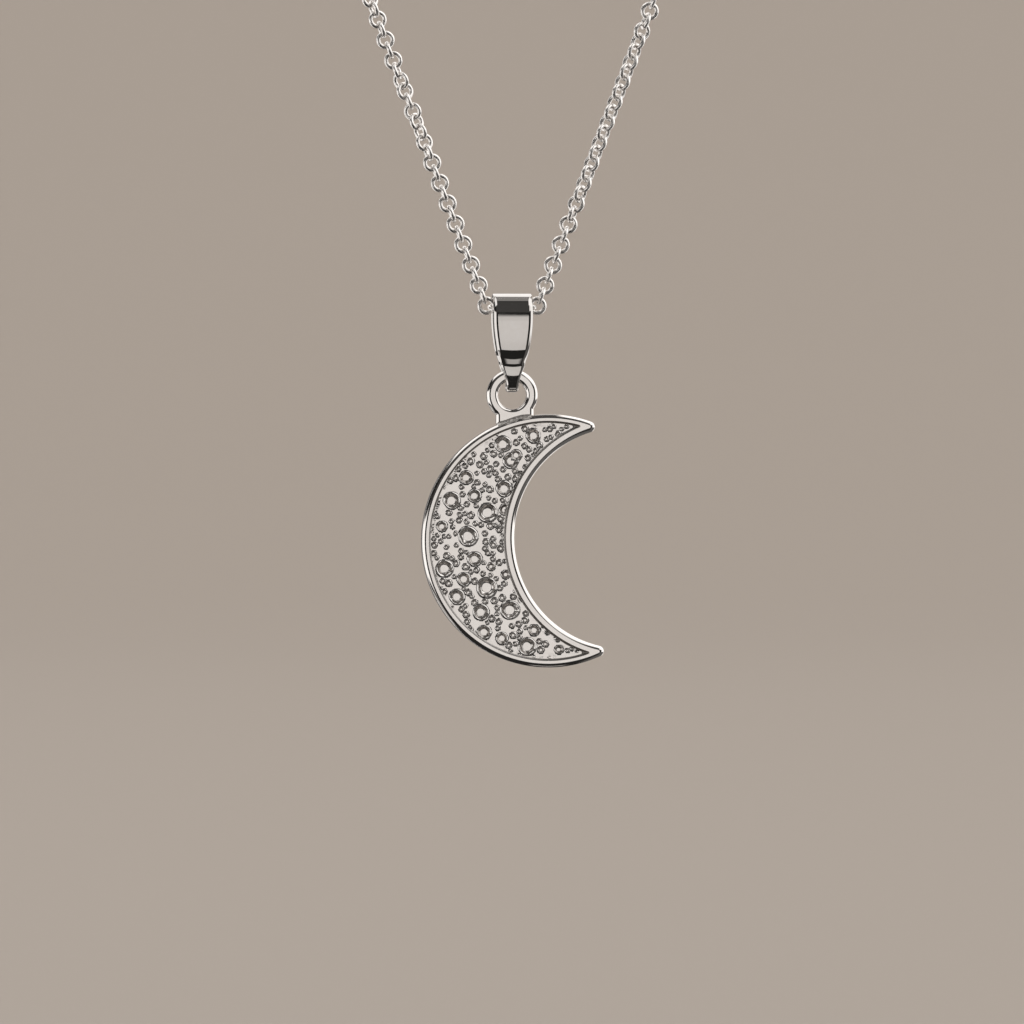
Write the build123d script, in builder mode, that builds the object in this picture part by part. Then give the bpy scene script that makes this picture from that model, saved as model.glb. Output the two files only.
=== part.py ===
from build123d import *

# Crescent moon pendant on its necklace chain, in millimetres, +Z up, the moon's face towards -Y.
# The closed loop hangs from the origin, the point under its clasp where it rests on a neck.

import math
import os

os.makedirs("parts", exist_ok=True)

# The loop, measured along the middle of the chain and through the clasp
necklace_length = 450.0
strand_lean = 20.9
strand_spread = 4.50

# One round link, and how much of each strand is made as links
link_outer = 1.58
link_wire = 0.26
link_clearance = 0.10
front_reach = 33.0
links_in_bail = 5
twist_in_bail = 90.0
chain_dip = 0.18

# The barrel clasp
clasp_diameter = 2.6
clasp_length = 7.0
clasp_end_round = 0.6
eye_outer = 1.7
eye_wire = 0.4
eye_sink = 0.25
end_gap = 0.12

# The bail, a strap folded over the chain and under the ring
bail_height = 8.64
bail_width = 3.46
bail_depth = 3.28
bail_strap = 0.32
bail_seat_gap = 0.12
bail_slope = 34.0
tongue_lean = 6.0
tongue_straight = 0.70
tongue_corner = 0.55
bail_edge_round = 0.20
ring_side_gap = 0.12
ring_slack = 0.68

# The ring on top of the moon, and its saddle
ring_hole = 2.52
ring_outer = 4.48
ring_depth = 0.90
ring_shoulder = 0.32
ring_bevel = 0.26
ring_standoff = 2.09
ring_bearing = 13.8
saddle_left = 1.42
saddle_right = 1.88
saddle_root = 0.60

# The moon
moon_radius = 11.13
bay_radius = 9.77
bay_offset = 6.76
bay_rise = 2.3
moon_thickness = 1.80
tip_round = 0.47
rim_shoulder = 0.42
rim_back_round = 0.15
outer_rim = 0.78
bay_rim = 0.80
field_depth = 0.45
field_corner = 0.10

# Craters: how high the lip stands, how deep the pit goes, and shares of a crater's radius
lip_height = 0.06
lip_root = 0.02
pit_depth = 0.26
small_pit_depth = 0.14
lip_crest_share = 0.94
pit_mouth_share = 0.88
pit_floor_share = 0.52
small_crater_radius = 0.20
small_crater_spread = 0.35
small_crater_gap = 0.07
small_crater_tries = 3500

# Bail seen from the front: share of its height down from the top, share of its width there
BAIL_SIDE = [
    (0.00, 0.990),
    (0.20, 1.000),
    (0.32, 0.985),
    (0.41, 0.945),
    (0.50, 0.885),
    (0.59, 0.815),
    (0.66, 0.745),
    (0.72, 0.655),
    (0.77, 0.585),
    (0.83, 0.460),
    (0.92, 0.320),
    (1.00, 0.300),
]

# Twist of each strand: share of the front reach up from the bail, degrees turned
TWIST_RIGHT = [(0.0, 0.0), (0.20, 0.0), (0.33, 45.0), (0.74, 45.0), (0.84, 90.0), (1.0, 90.0)]
TWIST_LEFT = [(0.0, 0.0), (0.40, 0.0), (0.52, 40.0), (0.68, 170.0), (0.76, 180.0), (0.86, 200.0), (1.0, 270.0)]

# Large craters: across and up from the moon's centre, and radius, as shares of the moon's radius
CRATERS = [
    (-0.116, 0.831, 0.055),
    (-0.358, 0.763, 0.063),
    (-0.294, 0.633, 0.060),
    (-0.253, 0.676, 0.040),
    (-0.650, 0.499, 0.052),
    (-0.348, 0.411, 0.061),
    (-0.765, 0.318, 0.065),
    (-0.585, 0.355, 0.051),
    (-0.479, 0.222, 0.074),
    (-0.343, 0.247, 0.043),
    (-0.635, 0.036, 0.076),
    (-0.842, 0.113, 0.040),
    (-0.582, -0.144, 0.055),
    (-0.821, -0.219, 0.066),
    (-0.667, -0.303, 0.052),
    (-0.486, -0.369, 0.079),
    (-0.723, -0.442, 0.059),
    (-0.533, -0.563, 0.061),
    (-0.303, -0.546, 0.073),
    (-0.507, -0.721, 0.054),
    (-0.366, -0.770, 0.046),
    (-0.166, -0.836, 0.069),
    (-0.111, -0.707, 0.043),
    (0.084, -0.860, 0.033),
    (-0.336, -0.266, 0.033),
    (-0.452, -0.203, 0.029),
]


# Sizes that follow from those above
link_pitch = link_outer - 2 * link_wire - link_clearance
link_middle = (link_outer - link_wire) / 2
lean = math.radians(strand_lean)
strand_turn = math.pi / 2 - lean
crown_turn = math.pi / 2 + lean
corner_x = strand_spread / 2
bail_pitch = strand_spread / links_in_bail
half_loop = necklace_length / 2
strand_length = (half_loop - corner_x - crown_turn * corner_x / math.cos(lean)) / (
    1 + crown_turn * math.tan(lean)
)
crown_radius = (corner_x + strand_length * math.sin(lean)) / math.cos(lean)
crown_z = clasp_diameter / 2
crown_centre_z = crown_z - crown_radius
corner_z = crown_centre_z - crown_radius * math.sin(lean) - strand_length * math.cos(lean)
pin_z = corner_z - chain_dip

bail_top = pin_z + link_outer / 2 + bail_seat_gap + bail_strap
bail_bottom = bail_top - bail_height
ring_z = bail_bottom + bail_strap + ring_slack - ring_hole / 2
bearing = math.radians(ring_bearing)
ring_to_moon = moon_radius + ring_standoff
moon_x = ring_to_moon * math.sin(bearing)
moon_z = ring_z - ring_to_moon * math.cos(bearing)
rise = math.radians(bay_rise)
bay_x = moon_x + bay_offset * math.cos(rise)
bay_z = moon_z + bay_offset * math.sin(rise)
face_y = -moon_thickness / 2
field_y = face_y + field_depth


def route(distance):
    """The chain's middle at a distance from the bail's middle: x, z and the angle it heads above +X."""
    along = abs(distance)
    if along < corner_x:
        z = max(pin_z, corner_z - (corner_x - along) * chain_dip / bail_pitch)
        x, heading = along, 0.0
    elif along <= corner_x + strand_length:
        x = corner_x + (along - corner_x) * math.sin(lean)
        z = corner_z + (along - corner_x) * math.cos(lean)
        heading = strand_turn
    else:
        heading = strand_turn + (along - corner_x - strand_length) / crown_radius
        x = crown_radius * math.sin(heading)
        z = crown_centre_z - crown_radius * math.cos(heading)
    if distance < 0:
        return -x, z, -heading
    return x, z, heading


def link_distance(number):
    """Where a link lies along the chain. The links in the bail are a little slack."""
    place = number + 0.5
    past_corner = abs(place) - links_in_bail / 2
    if past_corner <= 0:
        return place * bail_pitch
    return math.copysign(corner_x + past_corner * link_pitch, place)


def strand_twist(table, share):
    """The twist in degrees at this share of a strand's length, read between the rows of a table."""
    for (share_0, twist_0), (share_1, twist_1) in zip(table, table[1:]):
        if share <= share_1:
            return twist_0 + (twist_1 - twist_0) * (share - share_0) / (share_1 - share_0)
    return table[-1][1]


def twist_at(distance):
    """How far the chain has turned about its own line, in degrees."""
    share = (abs(distance) - corner_x) / front_reach
    if share < 0:
        return twist_in_bail * (1 - distance / corner_x) / 2
    if distance > 0:
        return strand_twist(TWIST_RIGHT, share)
    return twist_in_bail + strand_twist(TWIST_LEFT, share)


def link_plane(number):
    """The plane of a link: it holds the chain's line, and neighbours stand about a quarter turn apart."""
    distance = link_distance(number)
    x, z, heading = route(distance)
    turn = math.radians(90.0 * number + twist_at(distance))
    across = Vector(-math.sin(heading), 0, math.cos(heading))
    normal = Vector(0, -math.cos(turn), 0) + across * math.sin(turn)
    return Plane(
        origin=(x, 0, z),
        x_dir=(math.cos(heading), 0, math.sin(heading)),
        z_dir=normal,
    )


def in_field(x, z, room):
    """Is a circle of this radius on the sunk field, clear of its walls?"""
    from_moon = math.hypot(x - moon_x, z - moon_z)
    from_bay = math.hypot(x - bay_x, z - bay_z)
    return from_moon + room < moon_radius - outer_rim and from_bay - room > bay_radius + bay_rim


def large_craters():
    """The craters of the table as x, z and radius."""
    return [
        (moon_x + across * moon_radius, moon_z + up * moon_radius, radius * moon_radius)
        for across, up, radius in CRATERS
    ]


def small_craters():
    """Small craters scattered at random, but always the same, over what the large ones leave free."""
    first_step = 0.7548776662
    second_step = 0.5698402910
    size_step = 0.6180339887
    placed = large_craters()
    small = []
    for number in range(small_crater_tries):
        x = moon_x + moon_radius * (2 * (number**2 * first_step % 1) - 1)
        z = moon_z + moon_radius * (2 * (number**2 * second_step % 1) - 1)
        radius = small_crater_radius * (1 + small_crater_spread * (2 * (number * size_step % 1) - 1))
        if not in_field(x, z, radius):
            continue
        free = all(
            math.hypot(x - other_x, z - other_z) > radius + other_radius + small_crater_gap
            for other_x, other_z, other_radius in placed
        )
        if free:
            placed.append((x, z, radius))
            small.append((x, z, radius))
    return small


# The links from the bail's middle up both strands
link_count = int(front_reach / link_pitch + (links_in_bail + 1) / 2)
with BuildPart() as chain_front:
    with Locations(*[link_plane(number) for number in range(-link_count, link_count)]):
        Torus(link_middle, link_wire / 2)
chain_front.part.label = "chain_front"
export_step(chain_front.part, "parts/chain_front.step")


# The clasp: a barrel with an eye at each end
eye_x = clasp_length / 2 + eye_outer / 2 - eye_sink
with BuildPart() as clasp:
    with BuildSketch(Plane.XZ) as barrel_half:
        with Locations((0, crown_z + clasp_diameter / 4)):
            Rectangle(clasp_length, clasp_diameter / 2)
        top = barrel_half.vertices().group_by(Axis.Y)[-1]
        fillet(top, clasp_end_round)
    revolve(axis=Axis((0, 0, crown_z), (1, 0, 0)))
    with Locations(
        Plane(origin=(-eye_x, 0, crown_z), z_dir=(0, 1, 0)),
        Plane(origin=(eye_x, 0, crown_z), z_dir=(0, 1, 0)),
    ):
        Torus((eye_outer - eye_wire) / 2, eye_wire / 2)
clasp.part.label = "clasp"
export_step(clasp.part, "parts/clasp.step")


# The rest of the loop, from the last link of each strand to the clasp's eye
back_start = link_distance(link_count - 1) + link_outer / 2 + end_gap
back_start_x, back_start_z = route(back_start)[:2]
crown_end = math.pi - math.asin((eye_x + eye_outer / 2 + end_gap) / crown_radius)
crown_sweep = crown_end - strand_turn
with BuildPart() as chain_back:
    with BuildLine(Plane.XZ) as back_path:
        strand = Line((back_start_x, back_start_z), route(corner_x + strand_length)[:2])
        JernArc(
            start=strand @ 1,
            tangent=strand % 1,
            radius=crown_radius,
            arc_size=math.degrees(crown_sweep),
        )
    with BuildSketch(Plane(origin=(back_start_x, 0, back_start_z), z_dir=(math.sin(lean), 0, math.cos(lean)))):
        Circle(link_outer / 2)
    sweep(path=back_path.line)
    mirror(about=Plane.YZ)
chain_back.part.label = "chain_back"
export_step(chain_back.part, "parts/chain_back.step")


# The bail: a bent strap seen from the side, cut to its outline seen from the front
arch_radius = bail_depth / 2
tongue_half = ring_depth / 2 + ring_side_gap + bail_strap
slope = math.radians(bail_slope)
tilt = math.radians(tongue_lean)
curve_radius = (arch_radius - tongue_half) / (1 - 2 * math.cos(slope) + math.cos(tilt))
curve_drop = curve_radius * (2 * math.sin(slope) - math.sin(tilt))
straight_drop = tongue_straight * math.cos(tilt)
corner_drop = tongue_corner * (1 - math.sin(tilt))
side_drop = bail_height - arch_radius - curve_drop - straight_drop - corner_drop


def bail_side(side):
    """The points down the bail's left (-1) or right (1) side, seen from the front."""
    return [(side * width * bail_width / 2, bail_top - down * bail_height) for down, width in BAIL_SIDE]


with BuildPart() as bail:
    with BuildSketch(Plane.YZ) as strap:
        with BuildLine():
            arch = JernArc((0, bail_top), (-1, 0), arch_radius, 90)
            side = Line(arch @ 1, (-arch_radius, bail_top - arch_radius - side_drop))
            shoulder = JernArc(side @ 1, side % 1, curve_radius, bail_slope)
            neck = JernArc(shoulder @ 1, shoulder % 1, curve_radius, tongue_lean - bail_slope)
            tongue = Line(neck @ 1, neck @ 1 + (neck % 1) * tongue_straight)
            corner = JernArc(tongue @ 1, tongue % 1, tongue_corner, 90 - tongue_lean)
            Line(corner @ 1, (0, bail_bottom))
            mirror(about=Plane.YZ)
        make_face()
    extrude(amount=bail_width, both=True)
    with BuildSketch(Plane.XZ.offset(-bail_depth)):
        with BuildLine():
            left = Spline(*bail_side(-1))
            right = Spline(*bail_side(1))
            Line(left @ 0, right @ 0)
            Line(left @ 1, right @ 1)
        make_face()
    extrude(amount=2 * bail_depth, mode=Mode.INTERSECT)
    long_edges = bail.edges().filter_by(Axis.X, reverse=True).filter_by(Axis.Y, reverse=True)
    fillet(long_edges, bail_edge_round)
    with BuildSketch(Plane.YZ):
        add(strap.sketch_local)
        offset(amount=-bail_strap, kind=Kind.ARC, mode=Mode.REPLACE)
    extrude(amount=bail_width, both=True, mode=Mode.SUBTRACT)
bail.part.label = "bail"
export_step(bail.part, "parts/bail.step")


def moon_top(x):
    """How high the moon's outer edge stands at this x, on its upper side."""
    return moon_z + math.sqrt(moon_radius**2 - (x - moon_x) ** 2)


def moon_shape(outer_edge, bay_edge):
    """The crescent, its outer edge and its bay edge moved in by these amounts."""
    with Locations((moon_x, moon_z)):
        Circle(moon_radius - outer_edge)
    with Locations((bay_x, bay_z)):
        Circle(bay_radius + bay_edge, mode=Mode.SUBTRACT)


def cone_to_crest(x, z, low_y, low_radius, crest_radius):
    """A cone from this y and radius out to the crest of a crater's lip."""
    height = low_y - (field_y - lip_height)
    cone = Cone(low_radius, crest_radius, height, align=(Align.CENTER, Align.CENTER, Align.MIN))
    return Plane(origin=(x, low_y, z), z_dir=(0, -1, 0)).location * cone


# The ring with the saddle under it, which runs into the moon
with BuildPart() as ring:
    with BuildSketch(Plane.XZ.offset(-ring_depth / 2)):
        with BuildLine():
            Polyline(
                (-saddle_left, ring_z),
                (-saddle_left, moon_top(-saddle_left) - saddle_root),
                (saddle_right, moon_top(saddle_right) - saddle_root),
                (saddle_right, ring_z),
                close=True,
            )
        make_face()
        with Locations((0, ring_z)):
            Circle(ring_outer / 2)
            Circle(ring_hole / 2, mode=Mode.SUBTRACT)
    extrude(amount=ring_depth)
    outer_edges = [face.outer_wire().edges() for face in ring.faces().filter_by(Axis.Y)]
    fillet(outer_edges[0] + outer_edges[1], ring_shoulder)
    hole_edges = [face.inner_wires().edges() for face in ring.faces().filter_by(Axis.Y)]
    chamfer(hole_edges[0] + hole_edges[1], ring_bevel)


# The moon: rounded tips and rim, the sunk field, then the craters' lips and pits
lips = []
pits = []
for craters, depth in ((large_craters(), pit_depth), (small_craters(), small_pit_depth)):
    for x, z, radius in craters:
        lips.append(cone_to_crest(x, z, field_y + lip_root, radius, lip_crest_share * radius))
        pits.append(cone_to_crest(x, z, field_y + depth, pit_floor_share * radius, pit_mouth_share * radius))
with BuildPart() as crescent:
    with BuildSketch(Plane.XZ.offset(-moon_thickness / 2)) as outline:
        moon_shape(0, 0)
        fillet(outline.vertices(), tip_round)
    extrude(amount=moon_thickness)
    fillet(crescent.edges().group_by(Axis.Y)[0], rim_shoulder)
    fillet(crescent.edges().group_by(Axis.Y)[-1], rim_back_round)
    with BuildSketch(Plane.XZ.offset(-field_y)) as field:
        moon_shape(outer_rim, bay_rim)
        fillet(field.vertices(), field_corner)
    extrude(amount=field_depth, mode=Mode.SUBTRACT)
    add(ring.part)
    add(lips)
    add(pits, mode=Mode.SUBTRACT)
crescent.part.label = "crescent"
export_step(crescent.part, "parts/crescent.step")
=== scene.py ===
"""The looks of the crescent moon pendant necklace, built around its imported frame.

Sizes are in millimetres, as in the part's own source, and become metres in new_piece(). The stage and the
camera are in metres.
"""

import math

import bmesh
import bpy
import numpy as np
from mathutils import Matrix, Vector
from mathutils.geometry import delaunay_2d_cdt


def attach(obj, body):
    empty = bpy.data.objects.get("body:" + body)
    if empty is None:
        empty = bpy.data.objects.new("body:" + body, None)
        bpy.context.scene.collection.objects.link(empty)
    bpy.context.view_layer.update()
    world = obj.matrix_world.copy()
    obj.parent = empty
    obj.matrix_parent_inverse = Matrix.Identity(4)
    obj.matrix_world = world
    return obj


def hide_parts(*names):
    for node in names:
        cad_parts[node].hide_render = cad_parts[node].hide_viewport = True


MM = 0.001
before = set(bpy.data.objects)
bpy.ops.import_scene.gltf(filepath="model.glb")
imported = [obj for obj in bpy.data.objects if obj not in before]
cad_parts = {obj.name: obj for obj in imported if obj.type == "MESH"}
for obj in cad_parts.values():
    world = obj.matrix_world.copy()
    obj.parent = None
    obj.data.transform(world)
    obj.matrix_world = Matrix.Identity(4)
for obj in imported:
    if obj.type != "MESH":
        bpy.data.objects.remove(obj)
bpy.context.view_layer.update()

# The loop
necklace_length = 450.0
strand_lean = 20.9
strand_spread = 4.50
links_in_bail = 5
twist_in_bail = 90.0
front_reach = 33.0
chain_dip = 0.18

# A link: the solid's size, and the size that is seen, where the wire is thicker so that links just meet
link_outer = 1.58
link_pitch = 0.96
link_turn = 90.0
wire_seen = 0.365
front_outer_seen = 1.62
back_outer_seen = 1.60

# How many points a ring of wire has round it and across its wire
front_link_sides = (44, 16)
back_link_sides = (18, 8)
eye_sides = (40, 14)

# The clasp
clasp_diameter = 2.6
clasp_length = 7.0
eye_outer = 1.7
eye_wire = 0.4
eye_sink = 0.25
eye_slack = 0.1025

# The barrel as it is seen: the round of its ends and the middle of the flat in them, how far its grooves
# lie from the ends, and a groove's section: distances from its middle, and the depth there
barrel_end_round = 0.6
barrel_end_middle = 0.12
barrel_sides = 48
groove_places = (1.0, 1.35)
GROOVE = [(0.09, 0.0), (0.07, 0.02), (0.0, 0.09)]

# The bail
bail_height = 8.64
bail_width = 3.46
bail_depth = 3.28
bail_strap = 0.32
bail_seat_gap = 0.12
ring_slack = 0.68

# The bail's edges as they are seen: their round across the face and down the side, the share of it at the
# bail's top, the share lost lower down, the round inside, and how far the bends lift towards the edges
bail_edge_across = 0.40
bail_edge_deep = 0.25
bail_edge_at_top = 0.3
bail_edge_loss = 0.35
bail_inner_round = 0.03
bend_lift = 0.16

# Stretches down the bail as shares of its height, each a start and a length: its edges grow to their full
# round, they lose some of it again, the bends begin to lift, and the lift ends
edges_grow = (0.0, 0.07)
edges_lose = (0.66, 0.18)
lift_begins = (0.50, 0.16)
lift_ends = (0.80, 0.18)

# The ring and its saddle
ring_hole = 2.52
ring_outer = 4.48
ring_depth = 0.90
ring_standoff = 2.09
ring_bearing = 13.8
saddle_left = 1.42
saddle_right = 1.88

# The foot of the saddle's face: x and height over the moon's edge, how much higher it is for each
# millimetre of inset, and the share of the shoulder's depth that is left along it
SADDLE_FOOT = [(-saddle_left, 0.15), (-0.6, 0.08), (0.8, 0.13), (1.5, 0.05), (saddle_right, -0.10)]
foot_rise = 0.25
foot_shoulder = 0.3

# The solder as it is seen: the fillets beside the ring, and the seam under the saddle's foot, with how far
# it stops short of the saddle's sides, goes over the foot and under the moon's edge, and reaches to the
# back, where its top starts, how far it stays behind the front, the size of its ends, and the shade painted
# on it where it lies in the groove under the saddle
solder_round = 0.30
seam_end_gap = 0.04
seam_over = 0.05
seam_under = 0.36
seam_back = 0.36
seam_top = 0.40
seam_clear = 0.005
seam_end_size = 0.1
seam_painted_shade = 0.54

# The seam's lumps: height, waves to the millimetre and seed
SEAM_LUMPS = [(0.05, 4.5, 11), (0.03, 9.0, 12)]

# The moon
moon_radius = 11.13
bay_radius = 9.77
bay_offset = 6.76
bay_rise = 2.3
moon_thickness = 1.80
tip_round = 0.47
rim_back_round = 0.15
outer_rim = 0.78
bay_rim = 0.80
field_depth = 0.45

# Rounded shoulders as they are seen: the radius of the flat's round and the degrees that it turns, the
# side's own round, and the step past a shoulder that keeps the flat flat
outer_round = (0.44, 50.0)
bay_round = (0.46, 57.0)
ring_round = (0.44, 50.0)
hole_round = (0.32, 60.0)
side_round = 0.05
flat_step = 0.02

# The wall round the moon's field as it is seen: where it starts, how far it slants in, the rounds at its
# top and its foot, how much shade is painted on it, from 0 to 1, and the rounds of its tips, at its top and
# at its foot
outer_wall = 0.61
bay_wall = 0.78
outer_slant = 0.06
bay_slant = 0.06
wall_edge = 0.03
wall_foot = 0.09
wall_painted_shade = 1.0
wall_tip = 0.10
field_tip = 0.16

# Bail seen from the front: share of its height down from the top, share of its width there
BAIL_SIDE = [
    (0.00, 0.990),
    (0.20, 1.000),
    (0.32, 0.985),
    (0.41, 0.945),
    (0.50, 0.885),
    (0.59, 0.815),
    (0.66, 0.745),
    (0.72, 0.655),
    (0.77, 0.585),
    (0.83, 0.460),
    (0.92, 0.320),
    (1.00, 0.300),
]

# Bail seen from the side, from its top down the front to its underside: the length of each stretch as a share
# of the bail's height, and how many degrees the face looks up at the end of it
BAIL_FACE = [
    (0.138, 45.0),
    (0.166, 2.75),
    (0.069, 1.0),
    (0.016, 0.0),
    (0.102, -1.5),
    (0.192, -2.2),
    (0.105, -33.0),
    (0.049, -34.0),
    (0.034, -2.5),
    (0.081, -1.5),
    (0.017, -5.0),
    (0.081, -5.0),
    (0.120, -90.0),
]

# Twist of each strand: share of the front reach up from the bail, degrees turned
TWIST_RIGHT = [(0.0, 0.0), (0.20, 0.0), (0.33, 45.0), (0.74, 45.0), (0.84, 90.0), (1.0, 90.0)]
TWIST_LEFT = [
    (0.0, 0.0),
    (0.40, 0.0),
    (0.52, 40.0),
    (0.68, 170.0),
    (0.76, 180.0),
    (0.86, 200.0),
    (1.0, 270.0),
]

# Large craters: across and up from the moon's centre, and radius, as shares of the moon's radius
CRATERS = [
    (-0.116, 0.831, 0.055),
    (-0.358, 0.763, 0.063),
    (-0.294, 0.633, 0.060),
    (-0.253, 0.676, 0.040),
    (-0.650, 0.499, 0.052),
    (-0.348, 0.411, 0.061),
    (-0.765, 0.318, 0.065),
    (-0.585, 0.355, 0.051),
    (-0.479, 0.222, 0.074),
    (-0.343, 0.247, 0.043),
    (-0.635, 0.036, 0.076),
    (-0.842, 0.113, 0.040),
    (-0.582, -0.144, 0.055),
    (-0.821, -0.219, 0.066),
    (-0.667, -0.303, 0.052),
    (-0.486, -0.369, 0.079),
    (-0.723, -0.442, 0.059),
    (-0.533, -0.563, 0.061),
    (-0.303, -0.546, 0.073),
    (-0.507, -0.721, 0.054),
    (-0.366, -0.770, 0.046),
    (-0.166, -0.836, 0.069),
    (-0.111, -0.707, 0.043),
    (0.084, -0.860, 0.033),
    (-0.336, -0.266, 0.033),
    (-0.452, -0.203, 0.029),
]
small_crater_radius = 0.20
small_crater_spread = 0.35
small_crater_gap = 0.07
small_crater_tries = 3500

# Factors that spread the small craters' x, z and radius evenly
spread_x = 0.7548776662
spread_z = 0.5698402910
spread_radius = 0.6180339887

# A large and a small crater: depth, lip height and how much shade is painted on the wall
large_crater = (0.26, 0.055, 0.22)
small_crater = (0.13, 0.025, 0.50)

# Places across a crater as shares of its radius: the flat floor's edge, the wall's top, the lip and its
# foot, and where the field has taken over and across how much
crater_floor = 0.50
crater_mouth = 0.95
crater_crest = 0.97
crater_skirt = 1.03
crater_end = 1.06
crater_blend = 0.04

# How uneven a crater is: out of round in two and in three swells, its lip's height, and its wall, and the
# share of the wall's rise that is straight
two_swells = 0.030
three_swells = 0.020
lip_change = 0.25
wall_change = 0.09
wall_straight = 0.45

# The field's unevenness: height, waves to the millimetre and seed
FIELD_WAVES = [(0.006, 1.1, 1), (0.002, 3.1, 2)]

# Marks of casting beside the wall: how far they reach and fade, how high they are, and how much shade is
# painted on them
marks_reach = 0.42
marks_fade = 0.30
marks_height = 0.026
marks_painted_shade = 0.25

# Points on the field: the space between them, on the rings round a crater and elsewhere, the radius from
# which a crater is wide, and how many points a ring may have
ring_spacing = 0.065
field_spacing = 0.11
wide_crater = 0.32
ring_counts = (18, 72)

# The loop's own geometry, as in the part's source
lean = math.radians(strand_lean)
strand_turn = math.pi / 2 - lean
crown_turn = math.pi / 2 + lean
corner_x = strand_spread / 2
bail_pitch = strand_spread / links_in_bail
half_loop = necklace_length / 2
strand_length = (half_loop - corner_x - crown_turn * corner_x / math.cos(lean)) / (
    1 + crown_turn * math.tan(lean)
)
crown_radius = (corner_x + strand_length * math.sin(lean)) / math.cos(lean)
crown_z = clasp_diameter / 2
crown_centre_z = crown_z - crown_radius
corner_z = crown_centre_z - crown_radius * math.sin(lean) - strand_length * math.cos(lean)
pin_z = corner_z - chain_dip
bail_top = pin_z + link_outer / 2 + bail_seat_gap + bail_strap
bail_bottom = bail_top - bail_height
ring_z = bail_bottom + bail_strap + ring_slack - ring_hole / 2
bearing = math.radians(ring_bearing)
ring_to_moon = moon_radius + ring_standoff
moon_x = ring_to_moon * math.sin(bearing)
moon_z = ring_z - ring_to_moon * math.cos(bearing)
rise = math.radians(bay_rise)
bay_x = moon_x + bay_offset * math.cos(rise)
bay_z = moon_z + bay_offset * math.sin(rise)
face_y = -moon_thickness / 2
field_y = face_y + field_depth
eye_x = clasp_length / 2 + eye_outer / 2 - eye_sink


def new_piece(name, points, faces, body, material, replaced=()):
    """A smooth mesh piece from points in millimetres, which rides on a body and may stand for CAD nodes."""
    mesh = bpy.data.meshes.new(name)
    mesh.from_pydata((np.asarray(points, float) * MM).tolist(), [], faces)
    outside = bmesh.new()
    outside.from_mesh(mesh)
    bmesh.ops.recalc_face_normals(outside, faces=outside.faces)
    outside.to_mesh(mesh)
    outside.free()
    mesh.polygons.foreach_set("use_smooth", [True] * len(mesh.polygons))
    piece = bpy.data.objects.new(name, mesh)
    bpy.context.scene.collection.objects.link(piece)
    mesh.materials.append(material)
    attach(piece, body)
    if replaced:
        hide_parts(*replaced)
    return piece


def grid_faces(rows, columns, close_rows=False, close_columns=False, start=0):
    """Quads of a grid of points, row by row."""
    faces = []
    for row in range(rows if close_rows else rows - 1):
        for column in range(columns if close_columns else columns - 1):
            next_row = (row + 1) % rows
            next_column = (column + 1) % columns
            faces.append(
                (
                    start + row * columns + column,
                    start + row * columns + next_column,
                    start + next_row * columns + next_column,
                    start + next_row * columns + column,
                )
            )
    return faces


# Materials


def node(tree, kind, **values):
    """A new shader node with these sockets or settings."""
    made = tree.nodes.new(kind)
    for key, value in values.items():
        if hasattr(made, key):
            setattr(made, key, value)
        else:
            made.inputs[key.replace("_", " ")].default_value = value
    return made


def ramp(tree, factor, *stops):
    """A colour ramp on this output, with stops of position and grey or colour."""
    made = tree.nodes.new("ShaderNodeValToRGB")
    elements = made.color_ramp.elements
    while len(elements) < len(stops):
        elements.new(0.5)
    for element, (position, colour) in zip(elements, stops):
        element.position = position
        element.color = (*colour, 1) if hasattr(colour, "__len__") else (colour, colour, colour, 1)
    tree.links.new(factor, made.inputs["Fac"])
    return made.outputs["Color"]


def math_node(tree, operation, *values):
    """The output of a math node on these sockets or numbers."""
    made = node(tree, "ShaderNodeMath", operation=operation)
    for place, value in enumerate(values):
        if hasattr(value, "is_linked"):
            tree.links.new(value, made.inputs[place])
        else:
            made.inputs[place].default_value = value
    return made.outputs[0]


# Dim and clear silver, and what the darkest painted shade in the hollows does to its colour, roughness and
# metal
dim_silver = (0.80, 0.765, 0.735)
clear_silver = (0.86, 0.835, 0.81)
shade_paint_colour = (0.15, 0.14, 0.13, 1)
shade_paint_roughness = 0.2
shade_paint_metal = -0.7


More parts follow.
